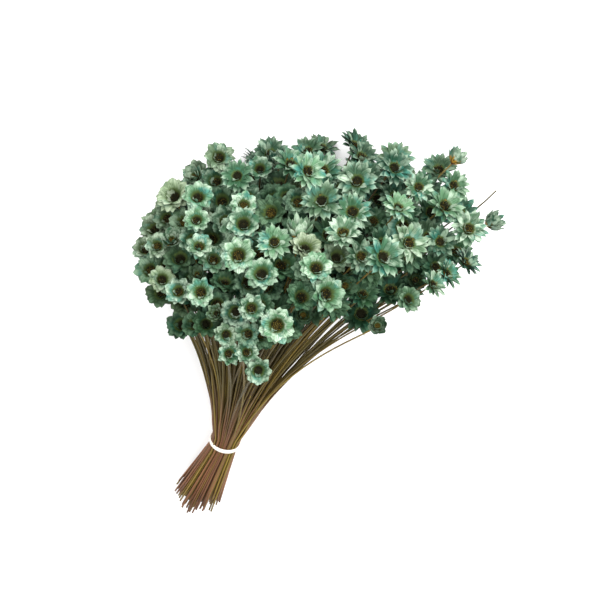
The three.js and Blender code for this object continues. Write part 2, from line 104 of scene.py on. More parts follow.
# How petals differ by chance: the path's second handle and tip, a petal's width, its lean and its turn
HANDLE_SPREAD = (0.15, 0.25)
TIP_SPREAD = (0.4, 0.5)
WIDTH_RANGE = (0.8, 1.12)
LEAN_SPREAD = 0.18
TURN_SPREAD = 0.07

# A petal's ripple, and how far the corners of its tip are drawn back
RIPPLE_HEIGHT = 0.07
RIPPLE_ALONG = 9
RIPPLE_ACROSS = 4
CORNER_DRAW = 0.45

# The rows of petals of each form, in millimetres from the head's base. A row's path is the root, two handles
# and the tip, each as distance from the head's axis and height. Turn is in steps of the row's own petals, and
# pale is how much more often than in other rows its petals have taken little dye; the outer rows' lower share
# is partly painted shade under the rows above them. A form's root is where the dark colour of the petals'
# roots, their own and partly painted shade deep in the head, begins and ends to give way, as shares of a
# petal's length.
HEAD_FORMS = {
    "cup": {
        "rows": [
            {"count": 8, "turn": 0.3, "path": ((1.6, 0.8), (3.6, 1.8), (4.4, 4.2), (7.0, 3.6)),
             "width": 1.65, "outline": ROUNDED, "wrap": 0.7, "cupping": 0.1, "pale": -0.25},
            {"count": 8, "turn": 0.0, "path": ((1.5, 1.0), (3.4, 2.2), (3.7, 5.2), (6.8, 4.6)),
             "width": 1.95, "outline": BLUNT, "wrap": 0.8, "cupping": 0.15, "pale": 0.0},
            {"count": 7, "turn": 0.5, "path": ((1.4, 1.2), (3.1, 2.7), (3.3, 5.9), (6.0, 5.6)),
             "width": 1.95, "outline": BLUNT, "wrap": 0.8, "cupping": 0.2, "pale": 0.1},
            {"count": 6, "turn": 0.1, "path": ((1.4, 1.2), (2.9, 2.4), (3.1, 4.6), (4.7, 5.7)),
             "width": 1.4, "outline": ROUNDED, "wrap": 0.9, "cupping": 0.1, "pale": 0.15},
        ],
        "disc": 2.1,
        "root": (0.12, 0.62),
    },
    "star": {
        "rows": [
            {"count": 9, "turn": 0.4, "path": ((1.5, 0.7), (3.2, 1.4), (5.6, 2.2), (8.1, 1.6)),
             "width": 1.35, "outline": POINTED, "wrap": 0.3, "cupping": 0.2, "pale": -0.25},
            {"count": 8, "turn": 0.0, "path": ((1.4, 0.9), (3.2, 2.0), (5.8, 3.6), (8.6, 3.2)),
             "width": 1.5, "outline": POINTED, "wrap": 0.3, "cupping": 0.3, "pale": 0.0},
            {"count": 8, "turn": 0.5, "path": ((1.4, 1.1), (3.0, 2.5), (5.0, 4.6), (7.8, 5.0)),
             "width": 1.4, "outline": POINTED, "wrap": 0.3, "cupping": 0.35, "pale": 0.15},
            {"count": 6, "turn": 0.25, "path": ((1.4, 1.2), (3.0, 2.3), (4.1, 4.0), (5.8, 5.4)),
             "width": 1.1, "outline": POINTED, "wrap": 0.4, "cupping": 0.25, "pale": 0.25},
        ],
        "disc": 2.3,
        "root": (0.08, 0.38),
    },
    "bud": {
        "rows": [
            {"count": 6, "turn": 0.3, "path": ((1.1, 0.5), (3.4, 1.2), (4.2, 3.4), (4.6, 5.0)),
             "width": 1.6, "outline": ROUNDED, "wrap": 1.0, "cupping": 0.1, "pale": 0.0},
            {"count": 6, "turn": 0.0, "path": ((1.1, 0.8), (3.4, 2.0), (4.2, 4.4), (5.0, 6.5)),
             "width": 1.6, "outline": POINTED, "wrap": 1.0, "cupping": 0.1, "pale": 0.25},
            {"count": 6, "turn": 0.5, "path": ((1.0, 1.0), (2.8, 2.6), (3.5, 5.4), (3.7, 7.8)),
             "width": 1.35, "outline": POINTED, "wrap": 1.0, "cupping": 0.1, "pale": 0.4},
            {"count": 5, "turn": 0.2, "path": ((0.8, 1.2), (1.8, 2.8), (2.2, 5.0), (2.1, 7.2)),
             "width": 1.1, "outline": POINTED, "wrap": 1.0, "cupping": 0.1, "pale": 0.3},
        ],
        "disc": 1.4,
        "root": (0.1, 0.5),
    },
}

# The pale petals in a throat, their own pale colour set on the lit side as a painted highlight, the most that
# a head has, and the scales under a head
CREAM_HIGHLIGHT_ROW = {
    "count": 10, "turn": 0.0, "path": ((1.8, 1.3), (2.2, 2.4), (2.1, 3.8), (2.7, 5.0)),
    "width": 0.95, "outline": SPOON, "wrap": 0.6, "cupping": 0.2, "pale": 1.8,
}
CREAM_HIGHLIGHT_PETALS = 4
CREAM_HIGHLIGHT_ROOT = (-1.0, 0.0)
SCALE_ROWS = [
    {"count": 6, "turn": 0.0, "path": ((0.7, -0.1), (1.6, 0.2), (2.2, 1.0), (2.5, 2.0)),
     "width": 0.8, "outline": SPOON, "wrap": 1.0, "cupping": 0.0, "pale": 0.0},
    {"count": 7, "turn": 0.5, "path": ((1.1, 0.3), (2.1, 0.9), (2.8, 1.9), (3.2, 3.0)),
     "width": 0.95, "outline": SPOON, "wrap": 1.0, "cupping": 0.0, "pale": 0.0},
]

# The bulb that all of a head grows from: its outline, as distance from the head's axis and height, and the
# height from which florets cover it
BULB_PROFILE = ((0, -0.5), (0.42, -0.5), (0.85, 0.1), (1.6, 0.7), (2.2, 1.3), (1.6, 1.6), (0, 1.7))
BULB_SIDES = 9
BULB_TOP = 1.2
BULB_TALL = 3

# Florets: how high they stand, how much higher and more tilted at the rim, their radii and their heights
FLORET_FLOOR = 1.5
FLORET_RISE = 0.5
FLORET_TILT = 0.3
FLORET_RADII = (0.34, 0.2)
FLORET_HEIGHTS = (0.8, 1.7)
FLORETS = 28
FLORET_SIDES = 4

# How a head is finished, and how many different heads there are of each form
WELD_IN_HEAD = 1e-4
SMOOTH_ANGLE = math.radians(70)
VARIANTS = 8

# How far heads turn on along the bunch, and how far each lolls and is turned round by chance
TURN_ON = 0.28
LOLL = 0.16
HEAD_TURN_SPREAD = 0.5

# A head below others within an angle from it that stand out further gets painted shade, full from a depth on,
# and a head low in the crown gets painted shade from most of what lies above it
SHELTER_ANGLE = math.radians(4.5)
SHELTER_FROM = 4 * MM
SHELTER_FULL = 18 * MM
LOW_PAINTED_SHADE = 0.9

# How strongly heads are dyed, how far they have faded, and how much oftener their petals are pale: the usual
# share, what low or left in the crown adds or takes away, and the spread by chance; what low adds is painted
# shade
USUAL_DYE = 0.38
LOW_SHADE_DYE = 0.5
DYE_SPREAD = 0.24
USUAL_FADING = 0.02
LEFT_FADING = 0.35
LEFT_FROM = 0.3
FADING_SPREAD = 0.08
USUAL_PALE = -0.02
BUD_PALE = 0.25
LOW_SHADE_PALE = -0.4
PALE_SPREAD = 0.25

# Where the one head grows that took no dye
UNDYED_AROUND = math.radians(73)
UNDYED_LEAN = math.radians(8.8)

# Steps across a petal, and the parts that carry each finish
PETAL_COLUMNS = 2
PAPER, SCALE, FLORET = 0, 1, 2

# Stems: their sides and steps, how far one is sunk in its head, how far the cut ends splay, and the handles
# of the curve from the bundle to the head
STEM_SIDES = 6
TAIL_STEPS = 6
CLIMB_STEPS = 15
STEM_SEAT = 0.4 * MM
SPLAY_RANGE = (0.92, 1.06)
LEAVING_SHARE = 0.45
MEETING_SHARE = 0.2
MEETING_MOST = 11 * MM
MEETING_BACK = 0.12

# The sides of the band's cross-section, and how softly what reaches the surface is pressed flat on it
BAND_SIDES = 12
PRESSED = 1.5 * MM

# What the finishes are darkened by: between fibres, painted shade where a head sits deep or low in the crown,
# and in the darkest stems, partly painted shade between stems
PAPER_LINES = (0.42, 0.5, 0.42, 1)
SCALE_LINES = (0.5, 0.5, 0.42, 1)
RUST_LINES = (0.35, 0.3, 0.3, 1)
STEM_LINES = (0.5, 0.42, 0.32, 1)
PAINTED_SHADE_TINT = (0.24, 0.35, 0.26, 1)
DARK_STEM_AND_SHADE = (0.4, 0.36, 0.28, 1)
SCUFF = (0.62, 0.56, 0.47, 1)
FLOOR_SHADE = (0.9, 0.9, 0.9, 1)
FIBRE_DEPTH = 0.3 * MM
FIBRE_SHIFT = 97.0
SCUFF_DEPTH = 0.2 * MM

# The photograph's frame: its size, where the band's middle is in it, and its pixels a metre at the band's
# depth. The camera is aimed at a height above the band.
FRAME_PIXELS = 600
BAND_PIXEL = (225, 441)
PIXELS_A_METRE = 1.96 / MM
AIM_HEIGHT = 60 * MM
SENSOR = 36
FAR_CLIP = 10
FLOOR_HALF = 3
FLOOR_STEPS = 8

# The main light: the length of its side, and its place from the aim: towards the camera, up and to the right
KEY_SIDE = 1.0
KEY_PLACE = (0.85, 0.2, 0.2)


def axial(point):
    return (point - TIE).dot(AXIS)


def outward(around):
    """A direction in the cross-section of the bunch, at an angle from its upper side towards +X."""
    return UPPER * math.cos(around) + ACROSS * math.sin(around)


def bundle_radius(along):
    if along < 0:
        return TIE_RADIUS + (TAIL_RADIUS - TIE_RADIUS) * (-along / TAIL_LENGTH)
    return TIE_RADIUS + (NECK_RADIUS - TIE_RADIUS) * (along / NECK_LENGTH) ** NECK_CURVE


def rested(height):
    """A height above the surface: what would lie under it is pressed flat just above it."""
    if height > PRESSED:
        return height
    return PRESSED * math.exp((height - PRESSED) / PRESSED)


def clamped(value):
    return min(1.0, max(0.0, value))


def neighbours(vert):
    return [edge.other_vert(vert) for edge in vert.link_edges]


def middle_of(verts):
    return sum((vert.co for vert in verts), Vector()) / len(verts)


class Stalk:
    """One stalk of the frame: where its head sits, how it faces, and where its stem leaves the bundle."""

    def __init__(self, end, throat, rim):
        self.base = middle_of(end)
        edges = [edge for vert in end for edge in vert.link_edges]
        longest = max(edges, key=lambda edge: edge.calc_length())
        ends = sorted((vert.co for vert in longest.verts), key=axial)
        self.rise = (ends[1] - ends[0]).normalized()
        self.root = self.base - self.rise * ((axial(self.base) - NECK_ALONG) / self.rise.dot(AXIS))
        spot = self.root - TIE - AXIS * NECK_ALONG
        self.share = spot.length / bundle_radius(NECK_ALONG)
        self.around = math.atan2(spot.dot(ACROSS), spot.dot(UPPER))
        self.form = None
        self.undyed = False
        self.painted_shade = 0.0
        if throat:
            self.read_head(throat, rim)

    def read_head(self, throat, rim):
        out = throat.co - self.base
        self.facing = out.normalized()
        self.size = out.length / THROAT_HEIGHT
        flat = [corner.co - self.base for corner in rim]
        flat = [spoke - self.facing * spoke.dot(self.facing) for spoke in flat]
        widest = max(flat, key=lambda spoke: spoke.length)
        reach = widest.length / self.size / MM
        self.form = "bud" if reach < BUD_RIM else "star" if reach > STAR_RIM else "cup"

    def head_matrix(self, turn, fullness, loll):
        """The head's place, with its cream petals on the side towards the cut ends, where light falls, as a
        painted highlight.
        """
        facing = (self.facing + loll).normalized()
        first = (facing * AXIS.dot(facing) - AXIS).normalized()
        basis = Matrix((first, facing.cross(first), facing)).transposed().to_4x4()
        place = Matrix.Translation(self.base) @ basis
        return place @ Matrix.Rotation(turn, 4, "Z") @ Matrix.Scale(self.size * fullness * MM, 4)


def ends_stem(vert):
    """Whether long edges of a stem come to a corner, far out in the crown, and none go on from it."""
    ways = [other.co for other in neighbours(vert) if (other.co - vert.co).length > STEM_EDGE]
    far = (vert.co - TIE).length > CROWN_START
    return far and bool(ways) and all(axial(other) < axial(vert.co) for other in ways)


def stem_ends(solid):
    """The corners at the outer end of each stem."""
    ends = []
    for vert in filter(ends_stem, solid.verts):
        own = next((end for end in ends if (end[0].co - vert.co).length < END_SPAN), None)
        if own:
            own.append(vert)
        else:
            ends.append([vert])
    return ends


def rim_of(end):
    """The corners that a head's petals start out to from the end of its stem. A bare stem has none."""
    near = {other for vert in end for other in neighbours(vert) if (other.co - vert.co).length < STEM_EDGE}
    return sorted(near - set(end), key=lambda vert: vert.index)


def throat_of(rim, end):
    """The corner in the middle of a head, where most of its petals meet."""
    met = [other for corner in rim for other in neighbours(corner) if other not in rim and other not in end]
    return max(met, key=lambda vert: (met.count(vert), vert.index))


def read_stalks(node):
    solid = bmesh.new()
    solid.from_mesh(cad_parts[node].data)
    bmesh.ops.remove_doubles(solid, verts=solid.verts, dist=WELD)
    solid.verts.index_update()
    stalks = []
    for end in stem_ends(solid):
        rim = rim_of(end)
        throat = throat_of(rim, end) if rim else None
        stalk = Stalk(end, throat, rim)
        # Where a stem runs past another head's petals, a corner can look like the end of a stem
        if not rim or LEAST_SIZE < stalk.size < MOST_SIZE:
            stalks.append(stalk)
    solid.free()
    if not stalks:
        raise RuntimeError(f"No stalk was found in {node}")
    return sorted(stalks, key=lambda stalk: (round(stalk.base.x, 5), round(stalk.base.y, 5)))


def linear(colour):
    """A colour property holds screen colours, and a shader wants scene colours."""
    red, green, blue = Color(colour[:3]).from_srgb_to_scene_linear()
    return (red, green, blue, 1)


def colour_property(name, description, default):
    return FloatVectorProperty(
        name=name, description=description, default=default, subtype="COLOR_GAMMA", min=0, max=1
    )


class GlixiaHeadSettings(bpy.types.PropertyGroup):
    """Sizes and colours of the heads."""

    fullness: FloatProperty(
        name="Fullness", description="Size of the papery heads against the frame's", default=1.04,
        min=0.5, max=1.2
    )
    mint: colour_property("Mint", "The palest dyed petals", (0.34, 0.49, 0.36))
    sea_green: colour_property("Sea green", "Most dyed petals", (0.18, 0.33, 0.23))
    teal: colour_property("Teal", "The most strongly dyed petals", (0.10, 0.25, 0.19))
    turquoise: colour_property("Turquoise", "Patches where the dye is bluer", (0.24, 0.48, 0.43))
    cream: colour_property("Cream", "Petals and tips that took little dye", (0.69, 0.76, 0.68))
    beige: colour_property("Beige", "Faded heads at the edge of the crown", (0.58, 0.57, 0.45))
    # The throat colour is the petals' own dark root and partly painted shade deep in the cup
    throat: colour_property("Throat", "Dark roots of the petals, inside", (0.11, 0.12, 0.04))
    olive: colour_property("Olive", "Between a petal's dark root and its dyed tip", (0.24, 0.30, 0.14))
    ochre: colour_property("Ochre", "Undyed base of a head, outside", (0.62, 0.46, 0.13))
    rust: colour_property("Rust", "The head that took no dye", (0.34, 0.19, 0.07))
    seed_brown: colour_property("Seed brown", "Florets in the middle of a head", (0.09, 0.09, 0.03))
    pollen: colour_property("Pollen", "The paler florets", (0.34, 0.29, 0.10))


class GlixiaStemSettings(bpy.types.PropertyGroup):
    """Sizes and colours of the stems."""

    radius: FloatProperty(
        name="Radius", description="Radius of a stem at its cut end", default=0.46 * MM,
        unit="LENGTH", precision=5
    )
    tip_radius: FloatProperty(
        name="Tip radius", description="Radius of a stem under its head", default=0.4 * MM,
        unit="LENGTH", precision=5
    )
    waviness: FloatProperty(
        name="Waviness", description="How far a stem strays from its curve", default=2.4 * MM,
        unit="LENGTH", precision=5
    )
    gathering: FloatProperty(
        name="Gathering", description="How far stems keep to the bundle before they part", default=1.0,
        min=0, max=3
    )
    raggedness: FloatProperty(
        name="Raggedness", description="How uneven the cut ends are", default=0.15, subtype="FACTOR",
        min=0, max=1
    )
    brown: colour_property("Brown", "Stems near the cut ends", (0.52, 0.34, 0.21))
    straw: colour_property("Straw", "Paler stems", (0.52, 0.44, 0.13))
    olive: colour_property("Olive", "Stems near the heads", (0.35, 0.31, 0.05))


class GlixiaBandSettings(bpy.types.PropertyGroup):
    """Sizes and colour of the band."""

    width: FloatProperty(
        name="Width", description="Width of the band along the stems", default=2.4 * MM,
        unit="LENGTH", precision=5
    )
    thickness: FloatProperty(
        name="Thickness", description="Thickness of the band", default=1.0 * MM,
        unit="LENGTH", precision=5
    )
    segments: IntProperty(name="Segments", description="Steps round the band", default=96, min=12)
    white: colour_property("White", "Colour of the band", (0.90, 0.87, 0.82))


class GlixiaStageSettings(bpy.types.PropertyGroup):
    """Camera, light and floor."""

    elevation: FloatProperty(
        name="Elevation", description="How far above the surface the camera stands", subtype="ANGLE",
        default=math.radians(68)
    )
    roll: FloatProperty(
        name="Roll", description="How far the camera is turned about its view", subtype="ANGLE",
        default=math.radians(16)
    )
    distance: FloatProperty(
        name="Distance", description="From the camera to the middle of its view", default=850 * MM,
        unit="LENGTH"
    )
    key: FloatProperty(
        name="Key light", description="Power of the main light", default=20.0, unit="POWER", min=0
    )
    fill: FloatProperty(
        name="Fill light", description="Strength of the light all round", default=1.1, min=0
    )
    floor: colour_property("Floor", "Colour of the floor", (0.97, 0.97, 0.97))


def add_node(tree, kind, **values):
    node = tree.nodes.new(kind)
    for name, value in values.items():
        setattr(node, name, value)
    return node


def set_inputs(node, **values):
    for name, value in values.items():
        node.inputs[name.replace("_", " ")].default_value = value
    return node


def feed(tree, socket, value):
    """Gives an input its value: another node's socket, a number or a colour."""
    if isinstance(value, bpy.types.NodeSocket):
        tree.links.new(value, socket)
    else:
        socket.default_value = value


def math_node(tree, operation, first, second):
    node = add_node(tree, "ShaderNodeMath", operation=operation)
    feed(tree, node.inputs[0], first)
    feed(tree, node.inputs[1], second)
    return node.outputs[0]


def mix_colours(tree, share, first, second, blend="MIX"):
    node = add_node(tree, "ShaderNodeMix", data_type="RGBA", blend_type=blend)
    for index, value in ((0, share), (6, first), (7, second)):
        feed(tree, node.inputs[index], value)
    return node.outputs[2]


def smooth_step(tree, value, low, high):
    """Turns a value into a mask that rises from 0 at low to 1 at high."""
    node = add_node(tree, "ShaderNodeMapRange", interpolation_type="SMOOTHSTEP")
    tree.links.new(value, node.inputs["Value"])
    return set_inputs(node, From_Min=low, From_Max=high).outputs["Result"]


def attribute_parts(tree, name):
    """The three values of an attribute that holds three."""
    source = add_node(tree, "ShaderNodeAttribute", attribute_name=name)
    parts = add_node(tree, "ShaderNodeSeparateXYZ")
    tree.links.new(source.outputs["Vector"], parts.inputs[0])
    return parts.outputs


def start_group(name, inputs, output):
    """A new group of shader nodes, the sockets of its inputs, and its end with one output."""
    group = bpy.data.node_groups.new(name, "ShaderNodeTree")
    for socket, default in inputs.items():
        made = group.interface.new_socket(socket, in_out="INPUT", socket_type="NodeSocketFloat")
        made.default_value = default
    group.interface.new_socket(output, in_out="OUTPUT", socket_type="NodeSocketFloat")
    return group, add_node(group, "NodeGroupInput").outputs, add_node(group, "NodeGroupOutput")


def fibre_group():
    """Fine lines along a dry petal or stem: even noise, drawn out along it."""
    name = "Dry Fibre"
    if name in bpy.data.node_groups:
        return bpy.data.node_groups[name]
    inputs = {"Along": 0.0, "Across": 0.0, "Offset": 0.0, "Lines": 12.0}
    group, start, end = start_group(name, inputs, "Fibre")
    across = math_node(group, "MULTIPLY", start["Across"], start["Lines"])
    seeded = math_node(group, "MULTIPLY", start["Offset"], FIBRE_SHIFT)
    place = add_node(group, "ShaderNodeCombineXYZ")
    group.links.new(across, place.inputs["X"])
    group.links.new(start["Along"], place.inputs["Y"])
    group.links.new(seeded, place.inputs["Z"])
    noise = set_inputs(add_node(group, "ShaderNodeTexNoise"), Scale=1.0, Detail=3.0, Roughness=0.6)
    group.links.new(place.outputs[0], noise.inputs["Vector"])
    group.links.new(noise.outputs["Fac"], end.inputs["Fibre"])
    return group


def mottle_group():
    """Soft patches in the object's own space, where dye took unevenly or dust lies."""
    name = "Uneven Dye"
    if name in bpy.data.node_groups:
        return bpy.data.node_groups[name]
    group, start, end = start_group(name, {"Size": 300.0}, "Patches")
    place = add_node(group, "ShaderNodeTexCoord")
    noise = set_inputs(add_node(group, "ShaderNodeTexNoise"), Detail=2.0, Roughness=0.5)
    group.links.new(place.outputs["Object"], noise.inputs["Vector"])
    group.links.new(start["Size"], noise.inputs["Scale"])
    group.links.new(noise.outputs["Fac"], end.inputs["Patches"])
    return group


def place_group(tree, group, **inputs):
    """A shared group placed in a material."""
    node = add_node(tree, "ShaderNodeGroup", node_tree=group)
    for name, value in inputs.items():
        feed(tree, node.inputs[name], value)
    return node.outputs[0]


def start_material(name, roughness):
    material = bpy.data.materials.new(name)
    material.use_nodes = True
    tree = material.node_tree
    shader = tree.nodes["Principled BSDF"]
    set_inputs(shader, Roughness=roughness)
    return material, tree, shader


def add_bump(tree, shader, height, strength, distance):
    bump = set_inputs(add_node(tree, "ShaderNodeBump"), Strength=strength, Distance=distance)
    tree.links.new(height, bump.inputs["Height"])
    tree.links.new(bump.outputs["Normal"], shader.inputs["Normal"])


def add_fading(tree, faded, dyed, heads):
    """A half faded head is beige."""
    return mix_colours(tree, smooth_step(tree, faded, 0.0, 0.6), dyed, linear(heads.beige))


def add_rust(tree, faded, colour, lines, heads):
    """The head that never took the dye is rust brown, and darker between its lines."""
    rust = mix_colours(tree, lines, linear(heads.rust), RUST_LINES, "MULTIPLY")
    return mix_colours(tree, smooth_step(tree, faded, 0.8, 0.95), colour, rust)


def bract_paper(heads):
    """Dyed petals: dark at the root inside, partly painted shade, ochre at the root outside, mint to teal
    above, with pale tips, and painted shade on heads deep or low in the crown.
    """
    material, tree, shader = start_material("Dyed Bract Paper", 0.62)
    along, edge, side = attribute_parts(tree, "petal_place")
    dye, pale, faded = attribute_parts(tree, "petal_tone")
    root, painted_shade = attribute_parts(tree, "petal_root")[:2]
    fibre = place_group(tree, fibre_group(), Along=along, Across=edge, Offset=pale, Lines=4.0)
    patches = place_group(tree, mottle_group(), Size=260.0)
    blueness = place_group(tree, mottle_group(), Size=140.0)
    weak = mix_colours(tree, smooth_step(tree, dye, 0.0, 0.5), linear(heads.mint), linear(heads.sea_green))
    strong = mix_colours(tree, smooth_step(tree, dye, 0.45, 1.0), weak, linear(heads.teal))
    body = mix_colours(tree, smooth_step(tree, blueness, 0.5, 0.68), strong, linear(heads.turquoise))
    pale_tip = math_node(tree, "MULTIPLY", smooth_step(tree, along, 0.55, 1.0), 0.7)
    pale_petal = smooth_step(tree, pale, 0.45, 1.15)
    paler = math_node(tree, "MAXIMUM", pale_tip, pale_petal)
    uneven = math_node(tree, "MULTIPLY", paler, smooth_step(tree, patches, 0.34, 0.6))
    dyed = mix_colours(tree, uneven, body, linear(heads.cream))
    faded_dye = add_fading(tree, faded, dyed, heads)
    # Painted shade: heads that sit deep or low in the crown are darkened
    shaded = mix_colours(tree, painted_shade, faded_dye, PAINTED_SHADE_TINT, "MULTIPLY")
    lines = smooth_step(tree, fibre, 0.38, 0.66)
    lined = mix_colours(tree, lines, shaded, PAPER_LINES, "MULTIPLY")
    # The dark root inside is the petals' own colour and partly painted shade deep in the cup
    inside = mix_colours(tree, smooth_step(tree, root, 0.0, 0.5), linear(heads.throat), linear(heads.olive))
    root_and_shade_colour = mix_colours(tree, smooth_step(tree, side, 0.55, 0.9), inside, linear(heads.ochre))
    rooted = mix_colours(tree, smooth_step(tree, root, 0.4, 1.0), root_and_shade_colour, lined)
    tree.links.new(add_rust(tree, faded, rooted, lines, heads), shader.inputs["Base Color"])
    add_bump(tree, shader, fibre, 0.35, FIBRE_DEPTH)
    set_inputs(shader, Specular_IOR_Level=0.2)
    return material


def ochre_scales(heads):
    """Scales under a head: rust brown at the stem, ochre and yellow-green above."""
    material, tree, shader = start_material("Ochre Scales", 0.55)
    along, edge = attribute_parts(tree, "petal_place")[:2]
    dye, pale, faded = attribute_parts(tree, "petal_tone")
    fibre = place_group(tree, fibre_group(), Along=along, Across=edge, Offset=pale, Lines=5.0)
    low = mix_colours(tree, smooth_step(tree, along, 0.0, 0.4), linear(heads.rust), linear(heads.ochre))
    high = mix_colours(tree, smooth_step(tree, along, 0.7, 1.0), low, linear(heads.sea_green))
    dyed = mix_colours(tree, math_node(tree, "MULTIPLY", dye, 0.25), high, linear(heads.teal))
    lines = smooth_step(tree, fibre, 0.4, 0.7)
    lined = mix_colours(tree, lines, dyed, SCALE_LINES, "MULTIPLY")
    tree.links.new(add_rust(tree, faded, lined, lines, heads), shader.inputs["Base Color"])
    add_bump(tree, shader, fibre, 0.3, FIBRE_DEPTH)
    return material


def floret_brown(heads):
    """Florets: dark brown, some with paler tips."""
    material, tree, shader = start_material("Seed Florets", 0.75)
    height = attribute_parts(tree, "petal_place")[0]
    pale = attribute_parts(tree, "petal_tone")[1]
    ripe = math_node(tree, "MULTIPLY", smooth_step(tree, height, 0.4, 1.0), smooth_step(tree, pale, 0.4, 0.9))
    brown = mix_colours(tree, ripe, linear(heads.seed_brown), linear(heads.pollen))
    tree.links.new(brown, shader.inputs["Base Color"])
    set_inputs(shader, Specular_IOR_Level=0.1)
    return material


def dry_stem(stems):
    """Dry stems: brown at the cut ends, olive towards the heads, some of them straw-coloured."""
    material, tree, shader = start_material("Dry Stem", 0.7)
    along, around, tone = attribute_parts(tree, "stem_place")
    stretched = math_node(tree, "MULTIPLY", along, 14.0)
    fibre = place_group(tree, fibre_group(), Along=stretched, Across=around, Offset=tone, Lines=5.0)
    low = mix_colours(tree, smooth_step(tree, tone, 0.35, 0.9), linear(stems.brown), linear(stems.straw))
    high = mix_colours(tree, smooth_step(tree, tone, 0.5, 1.0), linear(stems.olive), linear(stems.straw))
    green = mix_colours(tree, smooth_step(tree, along, 0.22, 0.55), low, high)
    # Some stems darkened at random: their own tone, and partly painted shade between stems
    by_chance = math_node(tree, "FRACT", math_node(tree, "MULTIPLY", tone, 7.0), 0.0)
    dark_and_shade_share = math_node(tree, "MULTIPLY", by_chance, 0.8)
    darker = mix_colours(tree, dark_and_shade_share, green, DARK_STEM_AND_SHADE, "MULTIPLY")
    lined = mix_colours(tree, smooth_step(tree, fibre, 0.3, 0.8), darker, STEM_LINES, "MULTIPLY")
    tree.links.new(lined, shader.inputs["Base Color"])
    add_bump(tree, shader, fibre, 0.4, FIBRE_DEPTH)
    return material


def band_white(band):
    """The band: slightly creamy white, a little scuffed."""
    material, tree, shader = start_material("White Band", 0.5)
    patches = place_group(tree, mottle_group(), Size=900.0)
    scuffed = mix_colours(tree, smooth_step(tree, patches, 0.5, 0.8), linear(band.white), SCUFF)
    tree.links.new(scuffed, shader.inputs["Base Color"])
    add_bump(tree, shader, patches, 0.15, SCUFF_DEPTH)
    return material


def floor_matte(stage):
    material, tree, shader = start_material("Pale Floor", 0.9)
    patches = place_group(tree, mottle_group(), Size=6.0)
    tint = mix_colours(tree, math_node(tree, "MULTIPLY", patches, 0.04), linear(stage.floor), FLOOR_SHADE)
    tree.links.new(tint, shader.inputs["Base Color"])
    return material


def place_layers(mesh):
    """What a head's finishes read: a spot's place on its petal, how dyed, pale and faded it is, its root and
    its painted shade.
    """
    layers = mesh.verts.layers.float_vector
    names = ("petal_place", "petal_tone", "petal_root")
    return [layers.get(name) or layers.new(name) for name in names]


def turn_round(mesh, axis, centre, steps, weld):
    """Turns the mesh's profile round an axis, and sorts its faces, which come in no fixed order."""
    bmesh.ops.spin(
        mesh, geom=mesh.verts[:] + mesh.edges[:], axis=axis, cent=centre, angle=FULL_TURN, steps=steps,
        use_merge=True,
    )
    bmesh.ops.remove_doubles(mesh, verts=mesh.verts, dist=weld)
    bmesh.ops.recalc_face_normals(mesh, faces=mesh.faces)
    for index, face in enumerate(sorted(mesh.faces, key=lambda face: tuple(face.calc_center_median()))):
        face.index = index
    mesh.faces.sort()


def petal_frame(row, stray):
    """The petal's line from root to tip, with a lift across it, as distances and heights in the head."""
    points = [Vector((radius, height)) for radius, height in row["path"]]
    points[2] += Vector([stray.gauss(0, spread) for spread in HANDLE_SPREAD])
    points[3] += Vector([stray.gauss(0, spread) for spread in TIP_SPREAD])
    line = interpolate_bezier(*points, len(row["outline"]))
    steps = [line[min(index + 1, len(line) - 1)] - line[max(index - 1, 0)] for index in range(len(line))]
    lifts = [Vector((-step.y, step.x)).normalized() for step in steps]
    return line, lifts


def petal_sheets(mesh, rows):
    """A flat grid, and its copy behind it that faces the other way: each front corner, and its twin."""
    front = bmesh.ops.create_grid(mesh, x_segments=PETAL_COLUMNS, y_segments=rows, size=0.5)["verts"]
    faces = list(dict.fromkeys(face for vert in front for face in vert.link_faces))
    copied = bmesh.ops.duplicate(mesh, geom=front + faces)
    behind = [element for element in copied["geom"] if isinstance(element, bmesh.types.BMFace)]
    bmesh.ops.reverse_faces(mesh, faces=behind)
    return {vert: copied["vert_map"][vert] for vert in front}


def wrapped(point, sideways, radius, wrap):
    """A spot of a petal moved sideways: partly round the head's axis, and partly straight."""
    angle = sideways / max(radius, 1.0)
    rounded = Vector((point.x * math.cos(angle), point.x * math.sin(angle)))
    flat = rounded.lerp(Vector((point.x, sideways)), 1 - wrap)
    return Vector((flat.x, flat.y, point.y))


